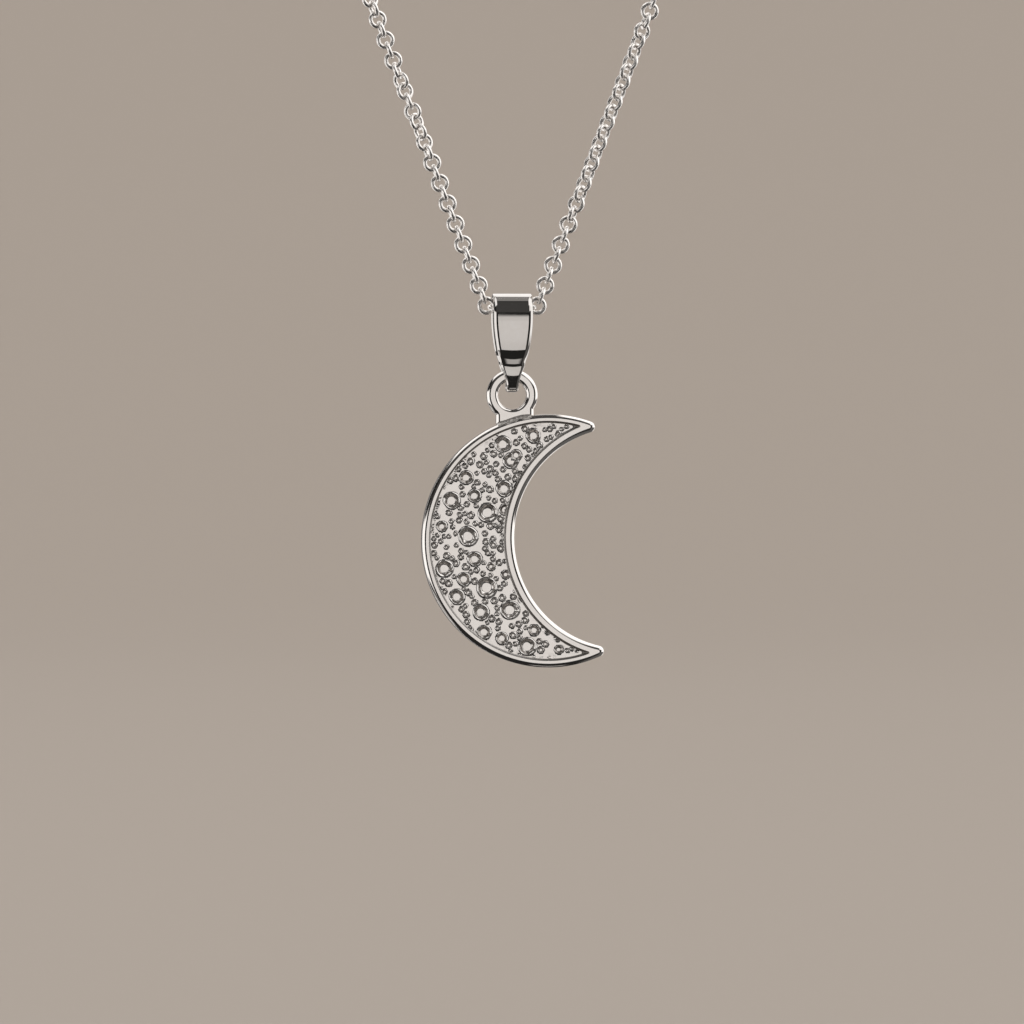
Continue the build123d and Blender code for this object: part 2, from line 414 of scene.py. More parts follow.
def silver(name, roughness, spread, scratch, wave=0.0, painted_shade=False, painted_brightness=1.0):
    """Polished silver: fine scratches, faint unevenness, and roughness that varies with handling."""
    # Painted light and shade: the factor scales the silver's colour, above 1 brightening it and below 1
    # darkening it
    dim = tuple(painted_brightness * value for value in dim_silver)
    clear = tuple(painted_brightness * value for value in clear_silver)
    material = bpy.data.materials.new(name)
    material.use_nodes = True
    tree = material.node_tree
    shader = tree.nodes["Principled BSDF"]
    shader.inputs["Metallic"].default_value = 1.0
    place = node(tree, "ShaderNodeTexCoord").outputs["Object"]

    patches = node(tree, "ShaderNodeTexNoise", Scale=900.0, Detail=4.0, Roughness=0.6)
    tree.links.new(place, patches.inputs["Vector"])
    rough = ramp(tree, patches.outputs["Fac"], (0.3, roughness - spread), (0.72, roughness + spread))
    tint = ramp(tree, patches.outputs["Fac"], (0.25, dim), (0.75, clear))

    stretch = node(tree, "ShaderNodeMapping")
    stretch.inputs["Rotation"].default_value = (0.3, 0.5, 0.6)
    stretch.inputs["Scale"].default_value = (1.0, 1.0, 0.04)
    tree.links.new(place, stretch.inputs["Vector"])
    lines = node(tree, "ShaderNodeTexNoise", Scale=30000.0, Detail=3.0)
    tree.links.new(stretch.outputs["Vector"], lines.inputs["Vector"])
    scratches = node(tree, "ShaderNodeBump", Strength=0.25 * scratch, Distance=2e-6)
    tree.links.new(lines.outputs["Fac"], scratches.inputs["Height"])
    normal = scratches.outputs["Normal"]
    if wave:
        swell = node(tree, "ShaderNodeTexNoise", Scale=1500.0, Detail=2.0)
        tree.links.new(place, swell.inputs["Vector"])
        bump = node(tree, "ShaderNodeBump", Strength=wave, Distance=3e-5)
        tree.links.new(swell.outputs["Fac"], bump.inputs["Height"])
        tree.links.new(normal, bump.inputs["Normal"])
        normal = bump.outputs["Normal"]
    tree.links.new(normal, shader.inputs["Normal"])

    # Painted shade: a point attribute darkens the colour and makes the silver rougher and less metal where
    # shade falls
    if painted_shade:
        shade_paint = node(tree, "ShaderNodeAttribute", attribute_name="painted_shade").outputs["Fac"]
        # A colour mix takes its factor and two colours at inputs 0, 6 and 7, and its result is output 2
        shade = node(tree, "ShaderNodeMix", data_type="RGBA")
        tree.links.new(shade_paint, shade.inputs[0])
        tree.links.new(tint, shade.inputs[6])
        shade.inputs[7].default_value = shade_paint_colour
        tint = shade.outputs[2]
        rough = math_node(tree, "MULTIPLY_ADD", shade_paint, shade_paint_roughness, rough)
        metal = math_node(tree, "MULTIPLY_ADD", shade_paint, shade_paint_metal, 1.0)
        tree.links.new(metal, shader.inputs["Metallic"])
    tree.links.new(tint, shader.inputs["Base Color"])
    tree.links.new(rough, shader.inputs["Roughness"])
    return material


def plain(name, colour, roughness):
    """A plain matt material for the stage."""
    material = bpy.data.materials.new(name)
    material.use_nodes = True
    shader = material.node_tree.nodes["Principled BSDF"]
    shader.inputs["Base Color"].default_value = (*colour, 1)
    shader.inputs["Roughness"].default_value = roughness
    return material


# The chain's silver is brightened as painted light and the bail's darkened as painted shade; the metal is the
# same
chain_silver = silver("chain silver", 0.32, 0.06, 0.6, painted_brightness=1.12)
bail_silver = silver("bail silver", 0.06, 0.03, 0.5, painted_brightness=0.80)
moon_silver = silver("moon silver", 0.07, 0.04, 0.7, 0.06, painted_shade=True)
ring_silver = silver("ring silver", 0.07, 0.04, 0.7, 0.05, painted_shade=True)
clasp_silver = silver("clasp silver", 0.08, 0.04, 1.0)


# The chain


def route(distance):
    """The chain's middle at a distance from the bail's middle: x, z and the angle it heads above +X."""
    along = abs(distance)
    if along < corner_x:
        z = max(pin_z, corner_z - (corner_x - along) * chain_dip / bail_pitch)
        x, heading = along, 0.0
    elif along <= corner_x + strand_length:
        x = corner_x + (along - corner_x) * math.sin(lean)
        z = corner_z + (along - corner_x) * math.cos(lean)
        heading = strand_turn
    else:
        heading = strand_turn + (along - corner_x - strand_length) / crown_radius
        x = crown_radius * math.sin(heading)
        z = crown_centre_z - crown_radius * math.cos(heading)
    if distance < 0:
        return -x, z, -heading
    return x, z, heading


def link_distance(number):
    """Where a link lies along the chain. The links in the bail are a little slack."""
    place = number + 0.5
    past_corner = abs(place) - links_in_bail / 2
    if past_corner <= 0:
        return place * bail_pitch
    return math.copysign(corner_x + past_corner * link_pitch, place)


def strand_twist(table, share):
    """The twist in degrees at this share of a strand's length, read between the rows of a table."""
    for (share_0, twist_0), (share_1, twist_1) in zip(table, table[1:]):
        if share <= share_1:
            return twist_0 + (twist_1 - twist_0) * (share - share_0) / (share_1 - share_0)
    return table[-1][1]


def twist_at(distance):
    """How far the chain has turned about its own line, in degrees."""
    share = (abs(distance) - corner_x) / front_reach
    if share < 0:
        return twist_in_bail * (1 - distance / corner_x) / 2
    if distance > 0:
        return strand_twist(TWIST_RIGHT, share)
    return twist_in_bail + strand_twist(TWIST_LEFT, share)


def wire_ring(centre, along, side, normal, outer, wire, sides):
    """The points of a round ring of wire whose plane holds the first two of these directions."""
    around, across = sides
    big = np.linspace(0, 2 * math.pi, around, endpoint=False)[:, None, None]
    small = np.linspace(0, 2 * math.pi, across, endpoint=False)[None, :, None]
    reach = (outer - wire) / 2 + wire / 2 * np.cos(small)
    points = reach * (np.cos(big) * along + np.sin(big) * side) + wire / 2 * np.sin(small) * normal
    return (points + centre).reshape(-1, 3)


def link_points(distance, turn, outer, sides):
    """The points of one round link, its plane turned by this angle about the chain's line."""
    x, z, heading = route(distance)
    along = np.array([math.cos(heading), 0, math.sin(heading)])
    beside = np.array([-math.sin(heading), 0, math.cos(heading)])
    normal = np.array([0, -math.cos(turn), 0]) + beside * math.sin(turn)
    return wire_ring(np.array([x, 0, z]), along, np.cross(normal, along), normal, outer, wire_seen, sides)


def chain_piece(name, links, outer, sides, replaced):
    """One mesh of many links, each given as a distance along the chain and a turn in radians."""
    points = []
    faces = []
    for index, (distance, turn) in enumerate(links):
        points.append(link_points(distance, turn, outer, sides))
        faces += grid_faces(*sides, True, True, index * sides[0] * sides[1])
    new_piece(name, np.concatenate(points), faces, "necklace", chain_silver, replaced)


link_count = int(front_reach / link_pitch + (links_in_bail + 1) / 2)
front_links = []
for number in range(-link_count, link_count):
    distance = link_distance(number)
    front_links.append((distance, math.radians(link_turn * number + twist_at(distance))))
chain_piece("chain_front_links", front_links, front_outer_seen, front_link_sides, ["chain_front"])

# The hidden links go on to the clasp's eyes, and turn slowly so that the last one hangs edge-on in the eye
link_hole = back_outer_seen - 2 * wire_seen
eye_hole = eye_outer - 2 * eye_wire
last_x = eye_x + (link_hole + eye_hole) / 2 - eye_slack
last_distance = half_loop - crown_radius * math.asin(last_x / crown_radius)
back_links = []
for side in (-1, 1):
    first_number = link_count if side > 0 else -link_count - 1
    first_distance = abs(link_distance(first_number))
    count = round((last_distance - first_distance) / link_pitch) + 1
    step = (last_distance - first_distance) / (count - 1)
    first_turn = link_turn * first_number + twist_at(side * first_distance)
    last_turn = first_turn + side * link_turn * (count - 1)
    spare = (90.0 - last_turn) % 180.0
    for index in range(count):
        turn = first_turn + side * link_turn * index + spare * index / (count - 1)
        back_links.append((side * (first_distance + step * index), math.radians(turn)))
chain_piece("chain_back_links", back_links, back_outer_seen, back_link_sides, ["chain_back"])


# The clasp: a lathe-turned barrel with grooves and a seam, and its eyes


def lathe(profile, around):
    """Points and faces of a profile of x and radius, turned about the clasp's own line."""
    turns = np.linspace(0, 2 * math.pi, around, endpoint=False)
    points = [(x, r * math.cos(t), crown_z + r * math.sin(t)) for x, r in profile for t in turns]
    faces = grid_faces(len(profile), around, False, True)
    faces.append(tuple(range(around)))
    faces.append(tuple(reversed(range((len(profile) - 1) * around, len(profile) * around))))
    return points, faces


def barrel_profile():
    """The barrel's profile: a rounded end with two grooves beside it, half a seam, and all that mirrored."""
    radius = clasp_diameter / 2
    half = clasp_length / 2
    left = [(-half, barrel_end_middle), (-half, radius - barrel_end_round)]
    for angle in np.linspace(0, math.pi / 2, 9)[1:]:
        x = -half + barrel_end_round * (1 - math.cos(angle))
        left.append((x, radius - barrel_end_round + barrel_end_round * math.sin(angle)))
    for place in groove_places:
        centre = -half + place
        left += [(centre - across, radius - deep) for across, deep in GROOVE]
        left += [(centre + across, radius - deep) for across, deep in reversed(GROOVE[:-1])]
    left += [(-across, radius - deep) for across, deep in GROOVE]
    right = [(-x, r) for x, r in reversed(left[:-1])]
    return left + right


clasp_points, clasp_faces = lathe(barrel_profile(), barrel_sides)
along_x, along_y, along_z = np.eye(3)
for side in (-1, 1):
    centre = np.array([side * eye_x, 0, crown_z])
    eye = wire_ring(centre, along_x, along_z, along_y, eye_outer, eye_wire, eye_sides)
    clasp_faces += grid_faces(*eye_sides, True, True, len(clasp_points))
    clasp_points += eye.tolist()
new_piece("barrel_clasp", clasp_points, clasp_faces, "necklace", clasp_silver, ["clasp"])


# The bail: the strap's section swept round its folded path


def spline(rows, at):
    """Smooth reading of a table at these places, through a cubic with slopes from the neighbours."""
    x = np.array([row[0] for row in rows])
    y = np.array([row[1] for row in rows])
    slope = np.gradient(y, x)
    at = np.clip(at, x[0], x[-1])
    cell = np.clip(np.searchsorted(x, at) - 1, 0, len(x) - 2)
    width = x[cell + 1] - x[cell]
    t = (at - x[cell]) / width
    return (
        (2 * t**3 - 3 * t**2 + 1) * y[cell]
        + (t**3 - 2 * t**2 + t) * width * slope[cell]
        + (3 * t**2 - 2 * t**3) * y[cell + 1]
        + (t**3 - t**2) * width * slope[cell + 1]
    )


def ease(share):
    """0 up to 0, 1 from 1 on, smoothly between."""
    share = np.clip(share, 0, 1)
    return share * share * (3 - 2 * share)


def ease_over(value, start, length):
    """0 up to this start, 1 from this length past it on, smoothly between."""
    return ease((value - start) / length)


def bail_path():
    """The strap's outer line seen from the side, round the front and the back: y, z and outward y and z."""
    least_steps = 4
    degrees_a_step = 2.5
    y, z, tilt = 0.0, 0.0, 90.0
    path = [(y, z, tilt)]
    for share, end_tilt in BAIL_FACE:
        steps = max(least_steps, round(abs(end_tilt - tilt) / degrees_a_step))
        for step in range(steps):
            middle = math.radians(tilt + (end_tilt - tilt) * (step + 0.5) / steps)
            y -= share / steps * math.sin(middle)
            z -= share / steps * math.cos(middle)
            path.append((y, z, tilt + (end_tilt - tilt) * (step + 1) / steps))
        tilt = end_tilt
    path = np.array(path)
    path[:, 0] *= bail_depth / 2 / -path[:, 0].min()
    path[:, 1] = bail_top + path[:, 1] * bail_height / -path[:, 1].min()
    underside = [(value, bail_bottom, tilt) for value in np.linspace(path[-1, 0], 0.0, 5)[1:]]
    path = np.concatenate([path, underside])
    turn = np.radians(path[:, 2])
    front = np.stack([path[:, 0], path[:, 1], -np.cos(turn), np.sin(turn)], -1)
    back = front[-2:0:-1] * np.array([-1, 1, -1, 1])
    return np.concatenate([front, back])


def bail_section(width, down):
    """Half the strap's section, from its middle to its edge and back along the inside: x and depth."""
    size = bail_edge_at_top + (1 - bail_edge_at_top) * ease_over(down, *edges_grow)
    size -= bail_edge_loss * ease_over(down, *edges_lose)
    across = bail_edge_across * size
    deep = bail_edge_deep * size
    inner_width = width - bail_inner_round
    half = [(share * (width - across), 0.0) for share in (0.0, 0.3, 0.6, 0.85, 0.97)]
    for angle in np.linspace(0, math.pi / 2, 12):
        half.append((width - across * (1 - math.sin(angle)), deep * (1 - math.cos(angle))))
    half += [(width, bail_strap - bail_inner_round), (inner_width, bail_strap)]
    half += [(share * inner_width, bail_strap) for share in (0.6, 0.0)]
    return half


def bail_mesh():
    """The bail's points and faces. Its lower bends curve up towards the strap's edges."""
    path = bail_path()
    rows = []
    for y, z, outward_y, outward_z in path:
        down = (bail_top - z) / bail_height
        width = float(spline(BAIL_SIDE, np.array([down]))[0]) * bail_width / 2
        lift = bend_lift * ease_over(down, *lift_begins) * (1 - ease_over(down, *lift_ends))
        half = bail_section(width, down)
        section = half[:-1] + [(-x, deep) for x, deep in reversed(half[1:])]
        for x, deep in section:
            raised = z + lift * (x / width) ** 2
            rows.append((x, y - outward_y * deep, raised - outward_z * deep))
    return rows, grid_faces(len(path), len(section), True, True)


bail_points, bail_faces = bail_mesh()
new_piece("folded_bail", bail_points, bail_faces, "bail_body", bail_silver, ["bail"])


# The moon


def circle_crossing(r_outer, r_bay):
    """Where the outer circle and the bay's circle meet: the lower and the upper horn's sharp point."""
    gap = math.hypot(bay_x - moon_x, bay_z - moon_z)
    along = (gap**2 + r_outer**2 - r_bay**2) / (2 * gap)
    across = math.sqrt(r_outer**2 - along**2)
    u = np.array([bay_x - moon_x, bay_z - moon_z]) / gap
    v = np.array([-u[1], u[0]])
    base = np.array([moon_x, moon_z]) + u * along
    return base - v * across, base + v * across


def arc_points(centre, radius, start, end, steps):
    """Points along an arc from one angle to another, the last one left out."""
    return [
        (centre[0] + radius * math.cos(angle), centre[1] + radius * math.sin(angle))
        for angle in np.linspace(start, end, steps, endpoint=False)
    ]


def crescent_loop(outer_in, bay_in, tip, outer_steps, tip_steps, bay_steps):
    """The crescent's outline moved in by these amounts, its two tips rounded to this radius."""
    r_outer = moon_radius - outer_in
    r_bay = bay_radius + bay_in
    moon = np.array([moon_x, moon_z])
    bay = np.array([bay_x, bay_z])
    lower, upper = circle_crossing(r_outer - tip, r_bay + tip)

    def angle(vector, least=-math.pi):
        """The angle of a vector, within the whole turn from the least one on."""
        turn = math.atan2(vector[1], vector[0])
        while turn < least:
            turn += 2 * math.pi
        return turn

    outer_start = angle(upper - moon)
    outer_end = angle(lower - moon, outer_start)
    bay_start = angle(lower - bay, 0)
    bay_end = angle(upper - bay, 0)
    tip_start = angle(bay - upper)
    points = arc_points(moon, r_outer, outer_start, outer_end, outer_steps)
    points += arc_points(lower, tip, outer_end, angle(bay - lower, outer_end), tip_steps)
    points += arc_points(bay, r_bay, bay_start, bay_end, bay_steps)
    points += arc_points(upper, tip, tip_start, angle(upper - moon, tip_start), tip_steps)
    return np.array(points)


def crater_list():
    """All craters: x, z, radius, depth, lip height and the shade painted on the wall. The small ones are the
    solid's.
    """
    made = []
    for across, up, radius in CRATERS:
        x = moon_x + across * moon_radius
        z = moon_z + up * moon_radius
        made.append((x, z, radius * moon_radius, *large_crater))
    for number in range(small_crater_tries):
        x = moon_x + moon_radius * (2 * (number**2 * spread_x % 1) - 1)
        z = moon_z + moon_radius * (2 * (number**2 * spread_z % 1) - 1)
        radius = small_crater_radius * (1 + small_crater_spread * (2 * (number * spread_radius % 1) - 1))
        from_moon = math.hypot(x - moon_x, z - moon_z)
        from_bay = math.hypot(x - bay_x, z - bay_z)
        if from_moon + radius >= moon_radius - outer_rim or from_bay - radius <= bay_radius + bay_rim:
            continue
        if all(math.hypot(x - c[0], z - c[1]) > radius + c[2] + small_crater_gap for c in made):
            made.append((x, z, radius, *small_crater))
    return made


craters = crater_list()
crater_wobble = np.random.default_rng(7).uniform(0, 2 * math.pi, (len(craters), 3))


def value_noise(points, scale, seed):
    """Smooth noise from -1 to 1 at these 2-D points."""
    cells = 64
    table = np.random.default_rng(seed).uniform(-1, 1, (cells, cells))
    place = points * scale
    cell = np.floor(place).astype(int)
    t = place - cell
    t = t * t * (3 - 2 * t)
    corner = [table[(cell[:, 0] + dx) % cells, (cell[:, 1] + dz) % cells] for dx in (0, 1) for dz in (0, 1)]
    low = corner[0] * (1 - t[:, 1]) + corner[1] * t[:, 1]
    high = corner[2] * (1 - t[:, 1]) + corner[3] * t[:, 1]
    return low * (1 - t[:, 0]) + high * t[:, 0]


def unevenness(points, waves):
    """Several smooth noises together, from a table of height, waves to the millimetre and seed."""
    return sum(height * value_noise(points, scale, seed) for height, scale, seed in waves)


def crater_shape(theta, wobble):
    """How far out of round a crater is in each direction, as a factor on its radius."""
    return 1 + two_swells * np.sin(2 * theta + wobble[0]) + three_swells * np.sin(3 * theta + wobble[1])


def field_surface(points, from_wall):
    """How far the field stands out above its floor at these points, and how much shade is painted at each
    one.
    """
    height = unevenness(points, FIELD_WAVES)
    marked = ease_over(value_noise(points, 1.4, 3), -0.15, 0.5)
    rough = ease((marks_reach - from_wall) / marks_fade) * marked
    height += marks_height * rough * value_noise(points, 6.5, 4)
    # Shade is painted in patches along the casting marks beside the wall
    painted_shade = marks_painted_shade * rough * ease_over(value_noise(points, 5.0, 5), 0.0, 0.6)
    for (x, z, radius, depth, lip, crater_painted_shade), wobble in zip(craters, crater_wobble):
        offset = points - np.array([x, z])
        reach = np.hypot(offset[:, 0], offset[:, 1])
        near = reach < 1.2 * radius
        if not near.any():
            continue
        theta = np.arctan2(offset[near, 1], offset[near, 0])
        q = reach[near] / (radius * crater_shape(theta, wobble))
        crest = lip * (1 + lip_change * np.sin(theta + wobble[2]))
        skirt = crest * ease((crater_skirt - q) / (crater_skirt - crater_crest))
        share = np.clip((q - crater_floor) / (crater_mouth - crater_floor), 0, 1)
        inside = (depth + crest) * (wall_straight * share + (1 - wall_straight) * ease(share)) - depth
        wall = 4 * share * (1 - share)
        inside += wall_change * radius * wall * value_noise(points[near], 2.6 / radius, 6)
        own = np.where(q < crater_crest, inside, skirt)
        blend = ease((crater_end - q) / crater_blend)
        height[near] = own * blend + height[near] * (1 - blend)
        # Shade is painted on the crater's wall, darkest halfway down it
        painted_shade[near] = np.where(q < 1.0, crater_painted_shade * wall, painted_shade[near])
    return height, painted_shade


def field_points():
    """Points on the field: rings round every crater, and an even scatter on what is left."""
    floor_rings = (0.0, 0.2, 0.38, 0.46)
    wall_rings = (0.50, 0.54, 0.61, 0.68, 0.76, 0.83, 0.88, 0.915, 0.94)
    lip_rings = (0.97, 1.0, 1.03, 1.08)
    wide_rings = floor_rings + wall_rings + lip_rings
    small_rings = (0.0, 0.36, 0.47, 0.52, 0.62, 0.74, 0.85, 0.915, 0.945, 0.99, 1.04)
    kept = []
    taken = []
    for (x, z, radius, *_), wobble in zip(craters, crater_wobble):
        segments = int(np.clip(round(2 * math.pi * radius / ring_spacing), *ring_counts))
        ring_points = []
        for order, share in enumerate(wide_rings if radius > wide_crater else small_rings):
            steps = 1 if share == 0 else segments if share > 0.4 else segments // 2
            turn = math.pi / steps * (order % 2)
            angles = np.linspace(-math.pi, math.pi, steps, endpoint=False) + turn
            reach = share * radius * crater_shape(angles, wobble)
            ring_points.append(np.stack([x + reach * np.cos(angles), z + reach * np.sin(angles)], -1))
        ring_points = np.concatenate(ring_points)
        if taken:
            others = np.array(taken)
            offset = ring_points[:, None, :] - others[None, :, :2]
            clear = np.hypot(offset[..., 0], offset[..., 1]) > 1.04 * others[None, :, 2]
            own_share = np.hypot(ring_points[:, 0] - x, ring_points[:, 1] - z) / radius
            ring_points = ring_points[clear.all(1) | (own_share < 0.97)]
        if kept:
            before = np.concatenate(kept)
            inside = np.hypot(before[:, 0] - x, before[:, 1] - z) < 1.04 * radius
            kept = [before[~inside]]
        kept.append(ring_points)
        taken.append((x, z, radius))
    row_spacing = field_spacing * 0.87
    even_x = np.arange(moon_x - moon_radius, moon_x + moon_radius, field_spacing)
    even_z = np.arange(moon_z - moon_radius, moon_z + moon_radius, row_spacing)
    grid_x, grid_z = np.meshgrid(even_x, even_z)
    grid_x[1::2] += field_spacing / 2
    even = np.stack([grid_x.ravel(), grid_z.ravel()], -1)
    others = np.array(taken)
    offset = even[:, None, :] - others[None, :, :2]
    even = even[(np.hypot(offset[..., 0], offset[..., 1]) > 1.06 * others[None, :, 2] + 0.05).all(1)]
    return np.concatenate([*kept, even])


def fill(border, inner):
    """Triangles of a closed border and points inside it: the points, border first, and the triangles."""
    count = len(border)
    flat = np.concatenate([border, inner])
    edges = [(i, (i + 1) % count) for i in range(count)]
    made = delaunay_2d_cdt([Vector(point) for point in flat], edges, [], 0, 1e-7, True)
    source = [min(old) for old in made[3]]

    def signed_area(a, b, c):
        return np.cross(flat[b] - flat[a], flat[c] - flat[a])

    turning = np.sum(border[:, 0] * np.roll(border[:, 1], -1) - border[:, 1] * np.roll(border[:, 0], -1))
    triangles = []
    for triangle in made[2]:
        corners = sorted(source[i] for i in triangle)
        if corners[-1] >= count or signed_area(*corners) * turning > 0:
            triangles.append(tuple(source[i] for i in triangle))
    return flat, triangles


def shoulder(flat_round, turn_degrees):
    """A rounded shoulder from a side up to the flat: the inset from the side and the depth at each point."""
    turn = math.radians(turn_degrees)
    depth = side_round * math.cos(turn) + flat_round * (1 - math.cos(turn))
    inset = side_round * (1 - math.sin(turn)) + flat_round * math.sin(turn)
    points = []
    for angle in np.linspace(math.pi / 2, turn, 5)[:-1]:
        points.append((side_round * (1 - math.sin(angle)), depth - side_round * math.cos(angle)))
    for angle in np.linspace(turn, 0, 15):
        points.append((inset - flat_round * math.sin(angle), flat_round * (1 - math.cos(angle))))
    return points


def moon_loops():
    """Loops from the moon's back over its rim to its field, and how much shade is painted on each.

    A loop is its outer and bay inset, tip radius, and outer and bay y.
    """
    back = moon_thickness / 2
    loops = []
    for angle in np.linspace(0, math.pi / 2, 5):
        inset = rim_back_round * (1 - math.sin(angle))
        y = back - rim_back_round * (1 - math.cos(angle))
        loops.append((inset, inset, tip_round - inset, y, y))
    outer_shoulder = shoulder(*outer_round)
    bay_shoulder = shoulder(*bay_round)
    side_start = back - rim_back_round
    for share in (0.05, 0.5, 0.95):
        outer_y = side_start + share * (face_y + outer_shoulder[0][1] - side_start)
        bay_y = side_start + share * (face_y + bay_shoulder[0][1] - side_start)
        loops.append((0, 0, tip_round, outer_y, bay_y))
    for (outer, outer_deep), (bay, bay_deep) in zip(outer_shoulder, bay_shoulder):
        loops.append((outer, bay, tip_round - outer, face_y + outer_deep, face_y + bay_deep))
    flat_end = wall_edge + flat_step
    loops.append((outer + flat_step, bay + flat_step, wall_tip, face_y, face_y))
    loops.append((outer_wall - flat_end, bay_wall - flat_end, wall_tip, face_y, face_y))
    # Shade is painted on the wall round the field, fading out at its top edge and at its foot
    rim_painted_shade = [0.0] * len(loops)
    for angle in np.linspace(0, math.pi / 2, 5):
        inset = wall_edge * (math.sin(angle) - 1)
        y = face_y + wall_edge * (1 - math.cos(angle))
        loops.append((outer_wall + inset, bay_wall + inset, wall_tip, y, y))
        rim_painted_shade.append(wall_painted_shade * math.sin(angle))
    for angle in np.linspace(0, math.pi / 2, 9):
        inset = wall_foot * (1 - math.cos(angle))
        y = field_y - wall_foot + wall_foot * math.sin(angle)
        loops.append((outer_wall + outer_slant + inset, bay_wall + bay_slant + inset, field_tip, y, y))
        rim_painted_shade.append(wall_painted_shade * math.cos(angle))
    return loops, rim_painted_shade


def moon_mesh():
    """The moon's points, faces and painted shade values."""
    outer_steps, tip_steps, bay_steps = 360, 16, 300
    loops, rim_painted_shade = moon_loops()
    rings = [crescent_loop(*loop[:3], outer_steps, tip_steps, bay_steps) for loop in loops]
    columns = len(rings[0])
    across = np.linspace(0, 1, tip_steps)
    bay_share = np.concatenate([np.zeros(outer_steps), across, np.ones(bay_steps), across[::-1]])
    points = []
    for ring, (*_, outer_y, bay_y) in zip(rings, loops):
        points.append(np.stack([ring[:, 0], outer_y + bay_share * (bay_y - outer_y), ring[:, 1]], -1))
    points = np.concatenate(points)
    faces = grid_faces(len(rings), columns, False, True)
    painted_shade = np.repeat(rim_painted_shade, columns)
    last = (len(rings) - 1) * columns

    border = rings[-1]
    scatter = field_points()
    border_moon = np.hypot(scatter[:, 0] - moon_x, scatter[:, 1] - moon_z)
    border_bay = np.hypot(scatter[:, 0] - bay_x, scatter[:, 1] - bay_z)
    room = 0.04
    tip_room = 0.14
    fade_reach = 0.08
    outer_end = moon_radius - outer_wall - outer_slant - wall_foot
    bay_end = bay_radius + bay_wall + bay_slant + wall_foot
    lower_tip, upper_tip = circle_crossing(outer_end - tip_room, bay_end + tip_room)
    tip_x = np.where(scatter[:, 1] < moon_z, lower_tip[0], upper_tip[0])
    inside = (border_moon < outer_end - room) & (border_bay > bay_end + room) & (scatter[:, 0] < tip_x)
    flat, triangles = fill(border, scatter[inside])
    from_wall = np.minimum(
        outer_end - np.hypot(flat[:, 0] - moon_x, flat[:, 1] - moon_z),
        np.hypot(flat[:, 0] - bay_x, flat[:, 1] - bay_z) - bay_end,
    )
    height, shade_paint = field_surface(flat, from_wall)
    fade = np.clip(from_wall / fade_reach, 0, 1)
    height *= fade
    shade_paint *= fade
    field = np.stack([flat[:, 0], field_y - height, flat[:, 1]], -1)
    shift = len(points) - columns
    faces += [tuple(i + (last if i < columns else shift) for i in triangle) for triangle in triangles]
    points = np.concatenate([points, field[columns:]])
    painted_shade = np.concatenate([painted_shade, shade_paint[columns:]])
    faces += fill(rings[0], np.empty((0, 2)))[1]
    return points, faces, painted_shade


def set_painted_shade(piece, values):
    """Paint shade on a piece: how dark and dull each point is, from 0 to 1."""
    attribute = piece.data.attributes.new("painted_shade", "FLOAT", "POINT")
    attribute.data.foreach_set("value", np.asarray(values, np.float32))


points, faces, painted_shade = moon_mesh()
moon = new_piece("cratered_moon", points, faces, "moon_body", moon_silver, ["crescent"])
set_painted_shade(moon, painted_shade)


# The ring with the saddle under it, and the seam where the saddle meets the moon


def line_points(start, end, steps):
    """Points along a line, the last one left out."""
    return [
        (start[0] + (end[0] - start[0]) * share, start[1] + (end[1] - start[1]) * share)
        for share in np.linspace(0, 1, steps, endpoint=False)
    ]


def moon_top(x):
    """How high the moon's outer edge stands at this x, on its upper side."""
    return moon_z + np.sqrt(moon_radius**2 - (x - moon_x) ** 2)


def foot_z(x):
    """How high the foot of the saddle's face is at this x."""
    return moon_top(x) + np.interp(x, *zip(*SADDLE_FOOT))


def ring_outline(inset):
    """Outline of the ring and saddle moved in by this much, and each point's share of the shoulder's depth.

    Solder fills the corners between the ring and the saddle's sides.
    """
    radius = ring_outer / 2

    def corner(side, x):
        """Centre of the fillet between the ring and this side of the saddle."""
        centre_x = x + side * solder_round
        centre_z = ring_z - math.sqrt((radius + solder_round) ** 2 - centre_x**2)
        return centre_x, centre_z

    right = corner(1, saddle_right)
    left = corner(-1, -saddle_left)
    right_turn = math.atan2(right[1] - ring_z, right[0])
    left_turn = math.atan2(left[1] - ring_z, left[0])
    left_x = inset - saddle_left
    right_x = saddle_right - inset
    foot_x = np.linspace(left_x, right_x, 41)
    foot = list(zip(foot_x, foot_z(foot_x) + foot_rise * inset))
    stretches = [
        arc_points((0, ring_z), radius - inset, right_turn, left_turn + 2 * math.pi, 160),
        arc_points(left, solder_round + inset, left_turn + math.pi, 0, 14),
        line_points((left_x, left[1]), foot[0], 10),
        foot[:-1],
        line_points(foot[-1], (right_x, right[1]), 10),
        arc_points(right, solder_round + inset, math.pi, right_turn + math.pi, 14),
    ]
    depths = [np.ones(len(stretch)) for stretch in stretches]
    depths[3] = foot_shoulder + (1 - foot_shoulder) * np.linspace(-1, 1, len(foot) - 1) ** 8
    return np.concatenate([np.array(stretch) for stretch in stretches]), np.concatenate(depths)[:, None]


